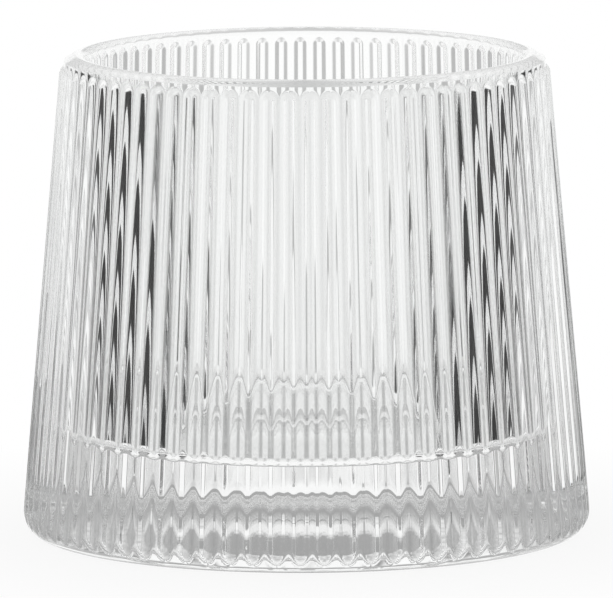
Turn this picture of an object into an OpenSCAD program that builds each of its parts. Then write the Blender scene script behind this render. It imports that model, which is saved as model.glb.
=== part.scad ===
// Small pressed-glass tumbler for tea: ribbed outside, smooth inside, on a wide heavy base.
// It stands on the plane z = 0 with its axis on the Z axis.

/* [Overall size] */
// Diameter over the ribs at the widest place, just above the foot
base_d = 80; // [76:0.5:86]
// Diameter over the ribs where the rim starts
top_d = 69; // [68:0.5:74]
// Height from the table to the top of the rim
height = 68; // [58:1:80]

/* [Ribs] */
// Number of upright ribs round the wall
rib_count = 76; // [70:2:80]
// How far a rib stands out from the grooves beside it, at the widest place
rib_proud = 0.5; // [0.3:0.05:0.6]
// Width of the plain groove between two ribs, at the widest place
groove_w = 0.6; // [0.4:0.05:0.8]

// Radius of the round that ends each rib below the rim
rib_end_round = 2; // [1.6:0.1:2.2]
// Height at which that round starts, below the top of the rim
rib_end_drop = 2.1; // [1.8:0.1:2.4]

/* [Rim] */
// Radius of the round from the wall up to the top of the rim
rim_outer_round = 2.1; // [1.8:0.1:2.3]
// Radius of the round from the top of the rim down into the mouth
rim_inner_round = 1; // [0.6:0.1:1.2]

/* [Inside] */
// Diameter of the inside where its wall would meet the floor
floor_d = 59.6; // [56:0.2:61]
// Thickness of the solid base, from the table to the inside floor
base_thick = 13.6; // [11:0.2:16]
// Radius of the round between the inside wall and the floor
floor_round = 2; // [1:0.5:4]

/* [Foot] */
// Radius of the round between the ribbed wall and the foot
foot_round = 3.4; // [3:0.1:4]
// Diameter of the shallow dish in the middle of the underside
hollow_d = 39; // [30:1:50]
// Depth of the dish
hollow_deep = 0.42; // [0.3:0.02:0.6]

/* [Hidden] */
$fn = 96;
// The dish is a small cap of a large ball, which needs more sides to look round
ball_sides = 1440;

glass = [0.86, 0.92, 0.91, 0.45];

base_r = base_d / 2;
top_r = top_d / 2;
floor_r = floor_d / 2;
hollow_r = hollow_d / 2;
hollow_ball_r = (hollow_r ^ 2 + hollow_deep ^ 2) / (2 * hollow_deep);

// The rib crests lean inwards along a straight line between these two heights
rim_low_z = height - rim_outer_round;
lean_per_z = (base_r - top_r) / (rim_low_z - foot_round);

// Every level section of the ribbed wall is a scaled copy of the widest one
groove_share = 1 - rib_proud / base_r;
function crest_r(z) = top_r + (rim_low_z - z) * lean_per_z;
function groove_r(z) = crest_r(z) * groove_share;
groove_lean = atan(lean_per_z * groove_share);

// A rib's section at the widest place is part of this circle
rib_pitch = 2 * PI * base_r * groove_share / rib_count;
rib_half_w = (rib_pitch - groove_w) / 2;
rib_r = (rib_half_w ^ 2 + rib_proud ^ 2) / (2 * rib_proud);
function rib_axis_r(z) = crest_r(z) * (1 - rib_r / base_r);

// The ribs are rooted so little into the wall that they do not meet there
root_share = 0.16;
function rib_root_r(z) = groove_r(z) - groove_w * root_share;

// The rim's two rounds share the top of the rim, over this radius
rim_mid_r = groove_r(rim_low_z) - rim_outer_round / cos(groove_lean);
rim_inner_z = height - rim_inner_round;

// The inside wall runs from the floor up to the rim's inner round and touches it
mouth_run = [rim_mid_r - floor_r, rim_inner_z - base_thick];
inside_lean = atan2(mouth_run[0], mouth_run[1]) - asin(rim_inner_round / norm(mouth_run));
function inside_r(z) = floor_r + (z - base_thick) * tan(inside_lean);
floor_mid_r = inside_r(base_thick + floor_round) - floor_round / cos(inside_lean);

// The rounds that end the ribs cross their crests at this angle, so that each end shows
end_angle = 10;
crest_lean = atan(lean_per_z);
// The foot's round starts a little in from the crests
foot_trim_share = 0.015;
foot_cut_z = foot_round * (1 - sin(end_angle));
foot_mid_r = crest_r(foot_cut_z) - foot_round * (cos(end_angle) + foot_trim_share);
rib_end_z = height - rib_end_drop;
rib_end_angle = crest_lean + end_angle;

// Cutting shapes run past the surfaces they cut by this much
over = 2;

// Point on a round, seen from its centre: outwards by cos, upwards by sin
function on_round(centre, r, angle) = centre + r * [cos(angle), sin(angle)];

// Half section of the plain wall up to the rim, at the depth of the grooves
module wall_section() {
    rim_centre = [rim_mid_r, rim_low_z];
    polygon([
        [0, -over],
        [groove_r(-over), -over],
        on_round(rim_centre, rim_outer_round, groove_lean),
        rim_centre,
        [rim_mid_r, height],
        [0, height]
    ]);
    translate(rim_centre) circle(r = rim_outer_round);
}

// Half section of the space inside, with the rim's inner round left standing
module inside_section() {
    floor_centre = [floor_mid_r, base_thick + floor_round];
    rim_centre = [rim_mid_r, rim_inner_z];
    polygon([
        [0, base_thick],
        [floor_mid_r, base_thick],
        floor_centre,
        on_round(floor_centre, floor_round, -inside_lean),
        on_round(rim_centre, -rim_inner_round, -inside_lean),
        [inside_r(rim_inner_z), height + over],
        [0, height + over]
    ]);
    translate(floor_centre) circle(r = floor_round);
    difference() {
        translate([floor_mid_r, rim_inner_z])
            square([rim_mid_r - floor_mid_r, rim_inner_round + over]);
        translate(rim_centre) circle(r = rim_inner_round);
    }
}

// Half section that trims the foot: the round at its edge and the dish under it
module foot_section() {
    foot_centre = [foot_mid_r, foot_round];
    cut = on_round(foot_centre, foot_round, -end_angle);
    difference() {
        union() {
            polygon([
                [0, 0],
                [foot_mid_r, 0],
                foot_centre,
                cut,
                cut + (height + over) * [tan(end_angle), 1],
                [0, height + 2 * over]
            ]);
            intersection() {
                translate(foot_centre) circle(r = foot_round);
                translate([foot_mid_r, 0]) square([foot_round, foot_round]);
            }
        }
        translate([0, hollow_deep - hollow_ball_r]) circle(r = hollow_ball_r, $fn = ball_sides);
    }
}

// Half section that the ribs are kept to: it rounds their upper ends into the wall
module rib_limit_section() {
    crest_end = [crest_r(rib_end_z), rib_end_z];
    centre = on_round(crest_end, -rib_end_round, rib_end_angle);
    intersection() {
        union() {
            polygon([
                [0, -over],
                crest_end + (rib_end_z + over) * [tan(rib_end_angle), -1],
                crest_end,
                centre,
                [0, centre[1]]
            ]);
            intersection() {
                translate(centre) circle(r = rib_end_round);
                translate(centre) square(rib_end_round);
            }
        }
        polygon([
            [rib_root_r(-over), -over],
            [base_d, -over],
            [base_d, height],
            [rib_root_r(height), height]
        ]);
    }
}

// One rib on the +X side, as a whole cone that leans with the wall
module rib_cone() {
    low = [rib_axis_r(-over), -over];
    top = [rib_axis_r(height), height];
    run = top - low;
    rib_lean = atan2(run[0], run[1]);
    function section_r(z) = rib_r * crest_r(z) / base_r * cos(rib_lean);
    translate([low[0], 0, low[1]]) rotate([0, rib_lean, 0])
        cylinder(h = norm(run), r1 = section_r(-over), r2 = section_r(height));
}

module rib_band() {
    for (i = [0 : rib_count - 1]) intersection() {
        rotate([0, 0, (i + 0.5) * 360 / rib_count]) rib_cone();
        rotate_extrude() rib_limit_section();
    }
}

module tumbler() {
    color(glass) difference() {
        intersection() {
            union() {
                rotate_extrude() wall_section();
                rib_band();
            }
            rotate_extrude() foot_section();
        }
        rotate_extrude() inside_section();
    }
}

tumbler();
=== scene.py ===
"""Pressed-glass tea tumbler, dressed for its photograph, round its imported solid.

Sizes in the classes are in millimetres, and the meshes are in metres.
"""

import logging
import math
from dataclasses import dataclass
from enum import Enum

import bmesh
import bpy
from mathutils import Matrix, Vector


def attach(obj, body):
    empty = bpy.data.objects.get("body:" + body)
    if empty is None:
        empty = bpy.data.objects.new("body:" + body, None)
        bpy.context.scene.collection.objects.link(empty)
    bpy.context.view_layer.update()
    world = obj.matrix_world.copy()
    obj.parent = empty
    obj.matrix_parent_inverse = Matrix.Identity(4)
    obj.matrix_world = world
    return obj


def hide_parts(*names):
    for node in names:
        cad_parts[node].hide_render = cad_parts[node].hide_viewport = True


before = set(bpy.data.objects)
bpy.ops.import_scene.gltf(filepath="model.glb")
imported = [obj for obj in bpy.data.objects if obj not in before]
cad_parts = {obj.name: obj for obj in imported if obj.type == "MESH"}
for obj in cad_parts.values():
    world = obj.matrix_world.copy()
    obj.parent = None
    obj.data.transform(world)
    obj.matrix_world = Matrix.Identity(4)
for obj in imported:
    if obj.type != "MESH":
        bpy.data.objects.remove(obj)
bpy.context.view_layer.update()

MM = 0.001
MERGE = 0.002
WHITE = (1.0, 1.0, 1.0, 1.0)
GLASS_BOUNCES = 24
PHOTO_WIDTH = 613

log = logging.getLogger("tumbler")


class Zone(Enum):
    """Part of the section that a row of vertices belongs to."""

    PLAIN = "plain"
    FOOT = "foot"
    RIBS = "ribs"
    RIB_ENDS = "rib ends"


@dataclass(frozen=True)
class Row:
    """One point of the half section, which becomes one ring of vertices."""

    r: float
    z: float
    zone: Zone = Zone.PLAIN


def soft_min(a: float, b: float, blend: float) -> float:
    """Gives the lesser of two radii, with the corner between them rounded.

    Args:
        a: First radius.
        b: Second radius.
        blend: How far apart the two are where the rounding starts.

    Returns:
        The lesser radius, a little less where the two are nearly equal.
    """
    near = max(blend - abs(a - b), 0.0)
    return min(a, b) - near * near / (4.0 * blend)


def soft_max(a: float, b: float, blend: float) -> float:
    """Gives the greater of two radii, with the corner between them rounded."""
    return -soft_min(-a, -b, blend)


def spread(start: float, end: float, count: int) -> list[float]:
    """Gives evenly spaced numbers from just past start to end."""
    return [start + (end - start) * i / count for i in range(1, count + 1)]


@dataclass
class Tumbler:
    """The glass: its sizes, and how its one closed mesh is made from them."""

    base_d: float = 80.0
    top_d: float = 69.0
    height: float = 68.0
    widest_z: float = 3.4
    rib_count: int = 76
    rib_proud: float = 0.62
    rib_steep: float = 30.0
    crest_share: float = 0.4
    rib_end_drop: float = 2.7
    rib_clear: float = 0.85
    groove_soft: float = 0.03
    rim_outer_round: float = 2.1
    rim_inner_round: float = 1.0
    floor_d: float = 59.6
    base_thick: float = 13.6
    floor_round: float = 2.0
    floor_edge: float = 0.4
    inside_shares: tuple = (0.67, 0.33)
    foot_depth: float = 3.0
    foot_height: float = 4.0
    foot_square: float = 2.4
    foot_over: float = 0.1
    foot_angle: float = 10.0
    foot_soft: float = 0.1
    foot_clear: float = 0.9
    hollow_d: float = 39.0
    hollow_deep: float = 0.42
    ring_edge: float = 0.2
    half_columns: int = 9
    hollow_steps: int = 8
    foot_steps: int = 14
    wall_steps: int = 3
    rib_end_steps: int = 13
    rim_outer_steps: int = 6
    rim_inner_steps: int = 8
    floor_round_steps: int = 8
    smooth_angle: float = 40.0

    def __post_init__(self) -> None:
        """Works out the sizes that follow from the named ones."""
        self.rim_low_z = self.height - self.rim_outer_round
        rise = self.rim_low_z - self.widest_z
        self.lean = (self.base_d - self.top_d) / 2 / rise
        self.groove_share = 1 - 2 * self.rib_proud / self.base_d
        self.pitch = math.pi * self.base_d * self.groove_share / self.rib_count
        steep = math.radians(self.rib_steep)
        arc_rise = math.tan(steep / 2)
        self.flank = max(
            (self.rib_proud - self.pitch / 2 * arc_rise) / (math.tan(steep) - arc_rise), 0.0
        )
        arcs = self.pitch / 2 - self.flank
        self.crest_w = arcs * self.crest_share
        self.crest_round = self.crest_w / math.sin(steep)
        self.groove_round = (arcs - self.crest_w) / math.sin(steep)
        groove_lean = math.atan(self.lean * self.groove_share)
        self.rim_mid_r = (
            self.groove_r(self.rim_low_z) - self.rim_outer_round / math.cos(groove_lean)
        )
        self.groove_top_z = self.rim_low_z + self.rim_outer_round * math.sin(groove_lean)
        self.foot_mid_r = (
            self.crest_r(self.foot_height) + self.foot_over - self.foot_depth
        )
        rim_inner_z = self.height - self.rim_inner_round
        run = (self.rim_mid_r - self.floor_d / 2, rim_inner_z - self.base_thick)
        self.inside_lean = math.atan2(*run) - math.asin(
            self.rim_inner_round / math.hypot(*run)
        )

    def crest_r(self, z: float) -> float:
        """Gives the radius over the rib crests at a height."""
        return self.top_d / 2 + (self.rim_low_z - z) * self.lean

    def groove_r(self, z: float) -> float:
        """Gives the radius at the bottom of the grooves at a height."""
        return self.crest_r(z) * self.groove_share

    def wall_r(self, z: float) -> float:
        """Gives the plain wall's radius at a height, with the rim's outer round.

        Args:
            z: Height over the table.

        Returns:
            The radius between the ribs there.
        """
        if z <= self.groove_top_z:
            return self.groove_r(z)
        up = min((z - self.rim_low_z) / self.rim_outer_round, 1.0)
        return self.rim_mid_r + self.rim_outer_round * math.sqrt(1 - up * up)

    def foot_r(self, z: float) -> float:
        """Gives the radius that the foot's round trims the ribs to at a height.

        The round is a squared ellipse, and above it the trim leans clear of the ribs.

        Args:
            z: Height over the table.

        Returns:
            The greatest radius that the outside may have there.
        """
        if z >= self.foot_height:
            lean = math.tan(math.radians(self.foot_angle))
            return self.foot_mid_r + self.foot_depth + (z - self.foot_height) * lean
        down = (1 - z / self.foot_height) ** self.foot_square
        return self.foot_mid_r + self.foot_depth * (1 - down) ** (1 / self.foot_square)

    def rib_depth(self, across: float, past_end: float) -> float:
        """Gives how far a rib's surface lies under its crest.

        Args:
            across: Distance from the middle of the rib, along the wall.
            past_end: Distance above the place where the rib's round end starts.

        Returns:
            The depth at the widest level, never more than the groove's.
        """
        away = min(math.hypot(across, max(past_end, 0.0)), self.pitch / 2)
        if away <= self.crest_w:
            return self.crest_round - math.sqrt(self.crest_round**2 - away**2)
        if away <= self.crest_w + self.flank:
            steep = math.radians(self.rib_steep)
            down_flank = (away - self.crest_w) * math.tan(steep)
            return self.crest_w * math.tan(steep / 2) + down_flank
        from_groove = self.pitch / 2 - away
        rise = self.groove_round - math.sqrt(self.groove_round**2 - from_groove**2)
        return self.rib_proud - rise

    def surface_r(self, row: Row, across: float) -> float:
        """Gives the finished radius of a row at a place across a rib.

        Args:
            row: The ring of vertices.
            across: Distance from the middle of the rib at the widest level.

        Returns:
            The radius of the outside surface there.
        """
        if row.zone is Zone.PLAIN:
            return row.r
        share = self.crest_r(row.z) / (self.base_d / 2)
        past_end = (row.z - self.height + self.rib_end_drop) / share
        depth = self.rib_depth(across, past_end) * share
        rib = self.crest_r(row.z) - depth
        if row.zone is Zone.RIBS:
            return rib
        if row.zone is Zone.FOOT:
            return soft_min(rib, self.foot_r(row.z), self.foot_soft)
        return soft_max(rib, self.wall_r(row.z), self.groove_soft)

    def underside_rows(self) -> list[Row]:
        """Gives the rows of the dished underside.

        Returns:
            The rows, from the middle outwards.
        """
        hollow_r = self.hollow_d / 2
        rows = [Row(0.0, self.hollow_deep)]
        for share in spread(0.0, 1.0, self.hollow_steps):
            rows.append(Row(hollow_r * share, self.hollow_deep * (1 - share * share)))
        rows.append(Row(hollow_r + self.ring_edge, 0.0))
        rows.append(Row(self.foot_mid_r - self.ring_edge, 0.0))
        return rows

    def outside_rows(self) -> list[Row]:
        """Gives the rows of the foot's round, the ribs and their ends.

        Returns:
            The rows, from the table upwards.
        """
        rows = []
        for i in range(self.foot_steps + 1):
            z = self.foot_height * (1 - math.cos(math.pi / 2 * i / self.foot_steps))
            rows.append(Row(self.foot_r(z), z, Zone.FOOT))
        clear_z = self.foot_height + self.foot_clear
        rows.append(Row(self.crest_r(clear_z), clear_z, Zone.FOOT))
        end_z = self.height - self.rib_end_drop
        for z in spread(clear_z, end_z, self.wall_steps):
            rows.append(Row(self.crest_r(z), z, Zone.RIBS))
        for z in spread(end_z, self.height - self.rib_clear, self.rib_end_steps):
            rows.append(Row(self.wall_r(z), z, Zone.RIB_ENDS))
        return rows

    def rim_rows(self) -> list[Row]:
        """Gives the rows over the top of the rim and down its inner round.

        Returns:
            The rows, from the ribs' ends to the inside wall.
        """
        last_up = self.height - self.rib_clear - self.rim_low_z
        last = math.asin(last_up / self.rim_outer_round)
        rows = []
        for angle in spread(last, math.pi / 2, self.rim_outer_steps):
            out = self.rim_outer_round * math.cos(angle)
            up = self.rim_outer_round * math.sin(angle)
            rows.append(Row(self.rim_mid_r + out, self.rim_low_z + up))
        rim_inner_z = self.height - self.rim_inner_round
        last = math.pi + self.inside_lean
        for angle in spread(math.pi / 2, last, self.rim_inner_steps):
            out = self.rim_inner_round * math.cos(angle)
            up = self.rim_inner_round * math.sin(angle)
            rows.append(Row(self.rim_mid_r + out, rim_inner_z + up))
        return rows

    def inside_rows(self) -> list[Row]:
        """Gives the rows of the inside wall, its round and the inside floor.

        Returns:
            The rows, from the rim down to the middle of the floor.
        """
        lean = self.inside_lean
        low_z = self.base_thick + self.floor_round
        mid_r = (
            self.floor_d / 2
            + self.floor_round * math.tan(lean)
            - self.floor_round / math.cos(lean)
        )
        start = (
            mid_r + self.floor_round * math.cos(lean),
            low_z - self.floor_round * math.sin(lean),
        )
        rows = []
        drop = self.height - self.rim_inner_round - start[1]
        for share in self.inside_shares:
            z = start[1] + drop * share
            wall_r = self.floor_d / 2 + (z - self.base_thick) * math.tan(lean)
            rows.append(Row(wall_r, z))
        rows.append(Row(*start))
        for angle in spread(-lean, -math.pi / 2, self.floor_round_steps):
            out = self.floor_round * math.cos(angle)
            up = self.floor_round * math.sin(angle)
            rows.append(Row(mid_r + out, low_z + up))
        rows.append(Row(mid_r - self.floor_edge, self.base_thick))
        rows.append(Row(mid_r * 0.5, self.base_thick))
        rows.append(Row(0.0, self.base_thick))
        return rows

    def columns(self) -> list[float]:
        """Gives the places across one rib, from one groove's middle to the next."""
        half = [0.0] + spread(0.0, self.pitch / 2, self.half_columns)
        return [-x for x in half[:0:-1]] + half

    def build(self) -> bpy.types.Object:
        """Models one rib's sector, presses the rib in it and turns it round.

        Returns:
            The finished glass.
        """
        rows = (
            self.underside_rows()
            + self.outside_rows()
            + self.rim_rows()
            + self.inside_rows()
        )
        columns = self.columns()
        radius = self.pitch / (2 * math.pi / self.rib_count)
        angles = [x / radius for x in columns]
        bpy.ops.object.select_all(action="DESELECT")
        bpy.ops.mesh.primitive_plane_add(size=MM)
        glass = bpy.context.object
        glass.name = "tumbler_glass"
        glass.data.name = "tumbler_glass"
        bpy.ops.object.mode_set(mode="EDIT")
        self.draw_section(rows, angles[0])
        bpy.ops.mesh.select_all(action="SELECT")
        for before, after in zip(angles, angles[1:]):
            bpy.ops.mesh.spin(
                steps=1,
                angle=before - after,
                center=(0, 0, 0),
                axis=(0, 0, 1),
                use_auto_merge=False,
            )
        self.press_rib(glass, rows, columns, angles)
        self.turn_round()
        bpy.ops.object.mode_set(mode="OBJECT")
        bpy.ops.object.shade_smooth_by_angle(angle=math.radians(self.smooth_angle))
        log.info("%s: %d faces", glass.name, len(glass.data.polygons))
        return glass

    def draw_section(self, rows: list[Row], angle: float) -> None:
        """Draws the half section as one chain of vertices in a level direction.

        Args:
            rows: The points of the section, in order.
            angle: Direction of the section, round the axis from +X, in radians.
        """
        bpy.ops.mesh.select_all(action="SELECT")
        bpy.ops.mesh.merge(type="CENTER")
        out = Vector((math.cos(angle), math.sin(angle), 0)) * MM
        up = Vector((0, 0, MM))
        first = out * rows[0].r + up * rows[0].z
        bpy.ops.transform.translate(value=first)
        for before, after in zip(rows, rows[1:]):
            step = out * (after.r - before.r) + up * (after.z - before.z)
            bpy.ops.mesh.extrude_region_move(TRANSFORM_OT_translate={"value": step})

    def press_rib(
        self,
        glass: bpy.types.Object,
        rows: list[Row],
        columns: list[float],
        angles: list[float],
    ) -> None:
        """Moves the sector's vertices in or out to the rib's own surface.

        Args:
            glass: The object in edit mode, which holds one sector.
            rows: The points of the section, in order.
            columns: Places across the rib, at the widest level.
            angles: Directions of those places, in radians.
        """
        mesh = bmesh.from_edit_mesh(glass.data)
        places = {}
        for vertex in mesh.verts:
            x, y, z = vertex.co / MM
            r = math.hypot(x, y)
            if r < MERGE:
                continue
            turned = math.atan2(y, x)
            column = min(range(len(angles)), key=lambda i: abs(angles[i] - turned))
            row = min(
                range(len(rows)), key=lambda i: abs(rows[i].r - r) + abs(rows[i].z - z)
            )
            places.setdefault((row, round(abs(columns[column]), 4)), []).append(vertex)
        moves = {}
        for (row, across), vertices in places.items():
            share = self.surface_r(rows[row], across) / rows[row].r
            if abs(share - 1) > 1e-7:
                moves.setdefault(round(share, 8), []).extend(vertices)
        for share, vertices in moves.items():
            for vertex in mesh.verts:
                vertex.select = False
            for vertex in vertices:
                vertex.select = True
            mesh.select_flush_mode()
            bmesh.update_edit_mesh(glass.data)
            bpy.ops.transform.resize(value=(share, share, 1), center_override=(0, 0, 0))
        log.info("pressed one rib in %d moves", len(moves))

    def turn_round(self) -> None:
        """Copies the finished sector round the axis and closes the whole."""
        step = 2 * math.pi / self.rib_count
        bpy.ops.mesh.select_all(action="SELECT")
        bpy.ops.transform.rotate(
            value=step / 2, orient_axis="Z", center_override=(0, 0, 0)
        )
        bpy.ops.mesh.spin(
            steps=self.rib_count - 1,
            dupli=True,
            angle=2 * math.pi - step,
            center=(0, 0, 0),
            axis=(0, 0, 1),
            use_auto_merge=False,
        )
        bpy.ops.mesh.select_all(action="SELECT")
        bpy.ops.mesh.remove_doubles(threshold=MERGE * MM)
        bpy.ops.mesh.normals_make_consistent(inside=False)


class Value:
    """A number that a node gives, with Python's operators as Math nodes."""

    def __init__(self, nodes: "Nodes", socket: bpy.types.NodeSocket) -> None:
        """Wraps an output socket."""
        self.nodes = nodes
        self.socket = socket

    def math(self, operation: str, *others: "Value | float") -> "Value":
        """Gives the result of a Math node with this value first."""
        return self.nodes.math(operation, self, *others)

    def __add__(self, other: "Value | float") -> "Value":
        """Adds."""
        return self.math("ADD", other)

    __radd__ = __add__

    def __sub__(self, other: "Value | float") -> "Value":
        """Takes away."""
        return self.math("SUBTRACT", other)

    def __rsub__(self, other: float) -> "Value":
        """Is taken away from a number."""
        return self.nodes.math("SUBTRACT", other, self)

    def __mul__(self, other: "Value | float") -> "Value":
        """Multiplies."""
        return self.math("MULTIPLY", other)

    __rmul__ = __mul__

    def __truediv__(self, other: "Value | float") -> "Value":
        """Divides."""
        return self.math("DIVIDE", other)

    def between(self, low: float, high: float) -> "Value":
        """Gives 0 below low and 1 above high, with an even run between them."""
        return self.nodes.add(
            "ShaderNodeMapRange", {}, {"Value": self, "From Min": low, "From Max": high}
        )


@dataclass
class Nodes:
    """A node tree, with one way to add any node."""

    tree: bpy.types.NodeTree

    def add(
        self, kind: str, settings: dict, inputs: dict, output: int | str = 0
    ) -> Value:
        """Adds a node, sets it and gives one of its outputs.

        Args:
            kind: Type of the node.
            settings: Attributes of the node, and a ramp's stops under "stops".
            inputs: Numbers, colours or wrapped sockets for its input sockets.
            output: Name or place of the output socket to give.

        Returns:
            The wrapped output socket.
        """
        node = self.tree.nodes.new(kind)
        for name, setting in settings.items():
            if name == "stops":
                self.set_stops(node.color_ramp, setting)
            else:
                setattr(node, name, setting)
        for name, given in inputs.items():
            if isinstance(given, Value):
                self.tree.links.new(given.socket, node.inputs[name])
            else:
                node.inputs[name].default_value = given
        return Value(self, node.outputs[output])

    def set_stops(self, ramp: bpy.types.ColorRamp, stops: list) -> None:
        """Sets a ramp's stops.

        Args:
            ramp: The ramp, as a new node has it.
            stops: Pairs of place and grey level, in order.
        """
        while len(ramp.elements) > 1:
            ramp.elements.remove(ramp.elements[-1])
        for i, (place, grey) in enumerate(stops):
            stop = ramp.elements[0] if i == 0 else ramp.elements.new(place)
            stop.position = place
            stop.color = (grey, grey, grey, 1.0)

    def math(self, operation: str, *operands: "Value | float") -> Value:
        """Adds a Math node for an operation on numbers."""
        inputs = dict(enumerate(operands))
        return self.add("ShaderNodeMath", {"operation": operation}, inputs)

    def axes(self, vector: Value) -> tuple[Value, Value, Value]:
        """Gives the three parts of a vector.

        Args:
            vector: The wrapped vector.

        Returns:
            Its parts along X, Y and Z.
        """
        parts = self.add("ShaderNodeSeparateXYZ", {}, {"Vector": vector})
        outputs = parts.socket.node.outputs
        return tuple(Value(self, outputs[axis]) for axis in "XYZ")

    def shown(self, *rays: str) -> Value:
        """Tells some kinds of ray from the rest.

        Args:
            rays: Outputs of the Light Path node, such as "Is Camera Ray".

        Returns:
            1 for the kinds of ray that are named, and 0 for the rest.
        """
        path = self.add("ShaderNodeLightPath", {}, {})
        outputs = path.socket.node.outputs
        seen = Value(self, outputs[rays[0]])
        for ray in rays[1:]:
            seen = seen.math("MAXIMUM", Value(self, outputs[ray]))
        return seen


@dataclass(frozen=True)
class ClearGlass:
    """Clear pressed glass, fire-polished, with the faint marks of its making and use.

    The mould leaves long shallow ripples, and the ring that the glass stands on is
    worn dull in fine arcs.
    """

    ior: float = 1.5
    tint: tuple = (0.99, 0.995, 0.992, 1.0)
    ripple_scale: float = 260.0
    ripple_stretch: float = 0.2
    ripple_height: float = 0.00002
    worn_from: float = 0.029
    worn_to: float = 0.0355
    worn_edge_share: float = 1 / 3
    worn_z: float = 0.0003
    worn_scale: float = 900.0
    worn_fine: float = 8.0
    worn_range: tuple = (0.35, 0.65)
    worn_rough: float = 0.35
    polish_scale: float = 60.0
    polish_range: tuple = (0.45, 0.75)
    polish_rough: float = 0.012

    def material(self, name: str) -> bpy.types.Material:
        """Makes the material.

        Args:
            name: Name of the material.

        Returns:
            The node material.
        """
        material = bpy.data.materials.new(name)
        material.use_nodes = True
        tree = material.node_tree
        nodes = Nodes(tree)
        shader = tree.nodes["Principled BSDF"]
        shader.inputs["Base Color"].default_value = self.tint
        shader.inputs["IOR"].default_value = self.ior
        shader.inputs["Transmission Weight"].default_value = 1.0
        place = nodes.add("ShaderNodeTexCoord", {}, {}, "Object")
        worn = self.worn(nodes, place)
        rough = self.polish(nodes, place) + worn * self.worn_rough
        tree.links.new(rough.socket, shader.inputs["Roughness"])
        height = self.ripples(nodes, place)
        bumped = nodes.add(
            "ShaderNodeBump", {}, {"Strength": 1.0, "Distance": 1.0, "Height": height}
        )
        tree.links.new(bumped.socket, shader.inputs["Normal"])
        return material

    def ripples(self, nodes: Nodes, place: Value) -> Value:
        """Gives the long shallow ripples that the mould leaves.

        Args:
            nodes: The material's node tree.
            place: Object coordinates.

        Returns:
            The height of the surface, in metres.
        """
        stretch = (1, 1, self.ripple_stretch)
        tall = nodes.add("ShaderNodeMapping", {}, {"Vector": place, "Scale": stretch})
        noise = nodes.add(
            "ShaderNodeTexNoise",
            {},
            {"Vector": tall, "Scale": self.ripple_scale, "Detail": 1.0, "Roughness": 0.4},
        )
        return noise * self.ripple_height

    def worn(self, nodes: Nodes, place: Value) -> Value:
        """Gives how worn the ring is that the glass stands on, in fine arcs.

        Args:
            nodes: The material's node tree.
            place: Object coordinates.

        Returns:
            1 where the glass is fully worn, and 0 off the ring.
        """
        x, y, z = nodes.axes(place)
        away = (x * x + y * y).math("SQRT")
        edge = (self.worn_to - self.worn_from) * self.worn_edge_share
        ring = away.between(self.worn_from, self.worn_from + edge)
        ring = ring * (1 - away.between(self.worn_to - edge, self.worn_to))
        under = 1 - z.between(0.0, self.worn_z)
        parts = {"X": away * self.worn_fine, "Y": x, "Z": y}
        turned = nodes.add("ShaderNodeCombineXYZ", {}, parts)
        arcs = nodes.add(
            "ShaderNodeTexNoise",
            {},
            {"Vector": turned, "Scale": self.worn_scale, "Detail": 0.0},
        )
        return ring * under * arcs.between(*self.worn_range)

    def polish(self, nodes: Nodes, place: Value) -> Value:
        """Gives the roughness that the fire polish leaves, in broad soft patches.

        Args:
            nodes: The material's node tree.
            place: Object coordinates.

        Returns:
            The roughness.
        """
        noise = nodes.add(
            "ShaderNodeTexNoise",
            {},
            {"Vector": place, "Scale": self.polish_scale, "Detail": 0.0},
        )
        return noise.between(*self.polish_range) * self.polish_rough


@dataclass(frozen=True)
class Band:
    """Light of the studio from a height upwards, by the way round the glass.

    The stops pair an angle with a grey level. The angle is 0 straight behind the
    glass, as the camera sees it, and 180 straight in front of it.
    """

    starts: float
    full: float
    stops: tuple

    def ramp(self, nodes: Nodes, azimuth: Value) -> Value:
        """Gives the band's light.

        Args:
            nodes: The world's node tree.
            azimuth: Angle from straight behind, as a share of a half turn.

        Returns:
            The band's colour.
        """
        stops = [(angle / 180, grey) for angle, grey in self.stops]
        return nodes.add("ShaderNodeValToRGB", {"stops": stops}, {0: azimuth})


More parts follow.
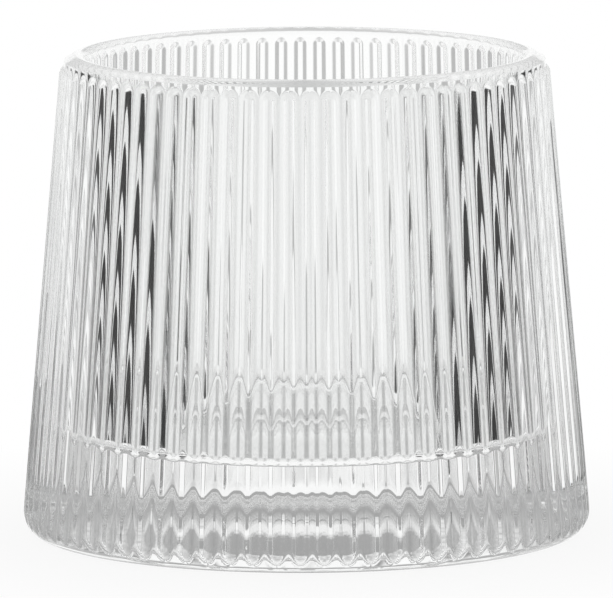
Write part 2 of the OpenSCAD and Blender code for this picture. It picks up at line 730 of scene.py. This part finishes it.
@dataclass
class Studio:
    """A pale table and backdrop, with dark flags low at the glass's sides.

    The camera sees plain white, and the glass sees the bands.
    """

    turn: float = 1.27
    table_r: float = 0.4
    table_z: float = -0.0001
    table_sides: int = 96
    table_grey: float = 0.8
    table_rough: float = 0.6
    near_r: float = 0.04
    clear_r: float = 0.09
    shadow_share: float = 0.08
    bands: tuple = (
        Band(
            -1.0,
            -1.0,
            (
                (0, 0.6),
                (8, 0.75),
                (14, 0.88),
                (28, 1.0),
                (40, 1.0),
            ),
        ),
        Band(
            -0.46,
            -0.38,
            (
                (0, 1.0),
                (14, 1.0),
                (18, 0.5),
                (24, 0.5),
                (27, 1.0),
                (38, 1.0),
                (42, 0.15),
                (50, 0.02),
                (112, 0.02),
                (118, 0.3),
                (124, 0.95),
                (180, 1.0),
            ),
        ),
        Band(
            -0.07,
            -0.03,
            (
                (0, 1.0),
                (14, 0.95),
                (28, 0.5),
                (40, 0.2),
                (60, 0.3),
                (75, 0.5),
                (95, 0.6),
                (130, 0.4),
                (180, 0.23),
            ),
        ),
        Band(
            0.14,
            0.18,
            (
                (0, 0.38),
                (28, 0.38),
                (40, 0.5),
                (65, 0.8),
                (90, 0.6),
                (110, 0.2),
                (140, 0.35),
                (180, 0.5),
            ),
        ),
        Band(
            0.45,
            0.55,
            (
                (0, 0.42),
                (28, 0.43),
                (40, 0.5),
                (65, 0.8),
                (90, 0.6),
                (110, 0.25),
                (140, 0.35),
                (180, 0.5),
            ),
        ),
    )

    def make_world(self) -> None:
        """Makes the world: white for the camera, and the bands for the glass."""
        world = bpy.data.worlds.new("studio")
        bpy.context.scene.world = world
        world.use_nodes = True
        tree = world.node_tree
        nodes = Nodes(tree)
        place = nodes.add("ShaderNodeTexCoord", {}, {}, "Generated")
        turned = nodes.add(
            "ShaderNodeVectorRotate",
            {"rotation_type": "Z_AXIS"},
            {"Vector": place, "Angle": -math.radians(self.turn)},
        )
        x, y, z = nodes.axes(turned)
        azimuth = x.math("ABSOLUTE").math("ARCTAN2", y) / math.pi
        light = self.bands[0].ramp(nodes, azimuth)
        for band in self.bands[1:]:
            share = z.between(band.starts, band.full)
            inputs = {0: share, 6: light, 7: band.ramp(nodes, azimuth)}
            light = nodes.add("ShaderNodeMix", {"data_type": "RGBA"}, inputs, 2)
        studio = nodes.add("ShaderNodeBackground", {}, {"Color": light})
        plain = nodes.add("ShaderNodeBackground", {}, {"Color": WHITE})
        shown = nodes.shown("Is Camera Ray")
        mixed = nodes.add("ShaderNodeMixShader", {}, {0: shown, 1: studio, 2: plain})
        tree.links.new(mixed.socket, tree.nodes["World Output"].inputs["Surface"])

    def make_floor(self) -> bpy.types.Object:
        """Makes the pale table, which keeps the object's shadow.

        The glass sees the studio through it.

        Returns:
            The table.
        """
        bpy.ops.object.select_all(action="DESELECT")
        bpy.ops.mesh.primitive_circle_add(
            vertices=self.table_sides,
            radius=self.table_r,
            fill_type="NGON",
            location=(0, 0, self.table_z),
        )
        floor = bpy.context.object
        floor.name = "floor"
        material = bpy.data.materials.new("pale_table")
        material.use_nodes = True
        tree = material.node_tree
        nodes = Nodes(tree)
        shader = tree.nodes["Principled BSDF"]
        grey = (self.table_grey,) * 3 + (1.0,)
        shader.inputs["Base Color"].default_value = grey
        shader.inputs["Roughness"].default_value = self.table_rough
        place = nodes.add("ShaderNodeTexCoord", {}, {}, "Object")
        x, y, _ = nodes.axes(place)
        away = (x * x + y * y).math("SQRT")
        far = away.between(self.near_r, self.clear_r)
        glow = nodes.add("ShaderNodeEmission", {}, {"Color": WHITE, "Strength": 1.0})
        clear = nodes.add("ShaderNodeBsdfTransparent", {}, {"Color": WHITE})
        lit = Value(nodes, shader.outputs[0])
        seen = nodes.shown("Is Camera Ray", "Is Glossy Ray", "Is Transmission Ray")
        white = seen * (1 - (1 - far) * self.shadow_share)
        table = nodes.add("ShaderNodeMixShader", {}, {0: white, 1: lit, 2: glow})
        through = nodes.shown("Is Glossy Ray", "Is Transmission Ray")
        mixed = nodes.add("ShaderNodeMixShader", {}, {0: through, 1: table, 2: clear})
        tree.links.new(mixed.socket, tree.nodes["Material Output"].inputs["Surface"])
        floor.data.materials.append(material)
        return floor


@dataclass
class PhotoCamera:
    """The camera of the photograph, found from the glass's outline in it."""

    distance: float = 1.575
    aim_z: float = 0.033
    down: float = 7.97
    turn: float = 1.27
    roll: float = -0.239
    focal_px: float = 11165.0
    shift_px: float = 0.76
    sensor: float = 36.0
    clip: float = 100.0

    def make(self) -> bpy.types.Object:
        """Makes the camera and sets it as the scene's.

        Returns:
            The camera.
        """
        data = bpy.data.cameras.new("camera")
        data.sensor_width = self.sensor
        data.lens = self.focal_px * self.sensor / PHOTO_WIDTH
        data.shift_x = self.shift_px / PHOTO_WIDTH
        data.clip_end = self.clip
        camera = bpy.data.objects.new("camera", data)
        bpy.context.scene.collection.objects.link(camera)
        down = math.radians(self.down)
        back = Vector((0, -math.cos(down), math.sin(down)))
        up = Vector((0, math.sin(down), math.cos(down)))
        facing = Matrix((Vector((1, 0, 0)), up, back)).transposed().to_4x4()
        place = Matrix.Translation(back * self.distance + Vector((0, 0, self.aim_z)))
        turn = Matrix.Rotation(math.radians(self.turn), 4, "Z")
        roll = Matrix.Rotation(math.radians(self.roll), 4, "Z")
        camera.matrix_world = turn @ place @ facing @ roll
        bpy.context.scene.camera = camera
        return camera


def main() -> None:
    """Builds the glass and its studio, and logs how many faces the glass has."""
    logging.basicConfig(level=logging.INFO, format="%(message)s")
    glass = Tumbler().build()
    glass.data.materials.append(ClearGlass().material("clear_pressed_glass"))
    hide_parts("tumbler")
    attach(glass, "root")
    Studio().make_world()
    Studio().make_floor()
    PhotoCamera().make()
    scene = bpy.context.scene
    scene.view_settings.view_transform = "Standard"
    scene.cycles.max_bounces = GLASS_BOUNCES
    scene.cycles.glossy_bounces = GLASS_BOUNCES
    scene.cycles.transmission_bounces = GLASS_BOUNCES


if __name__ == "__main__":
    main()
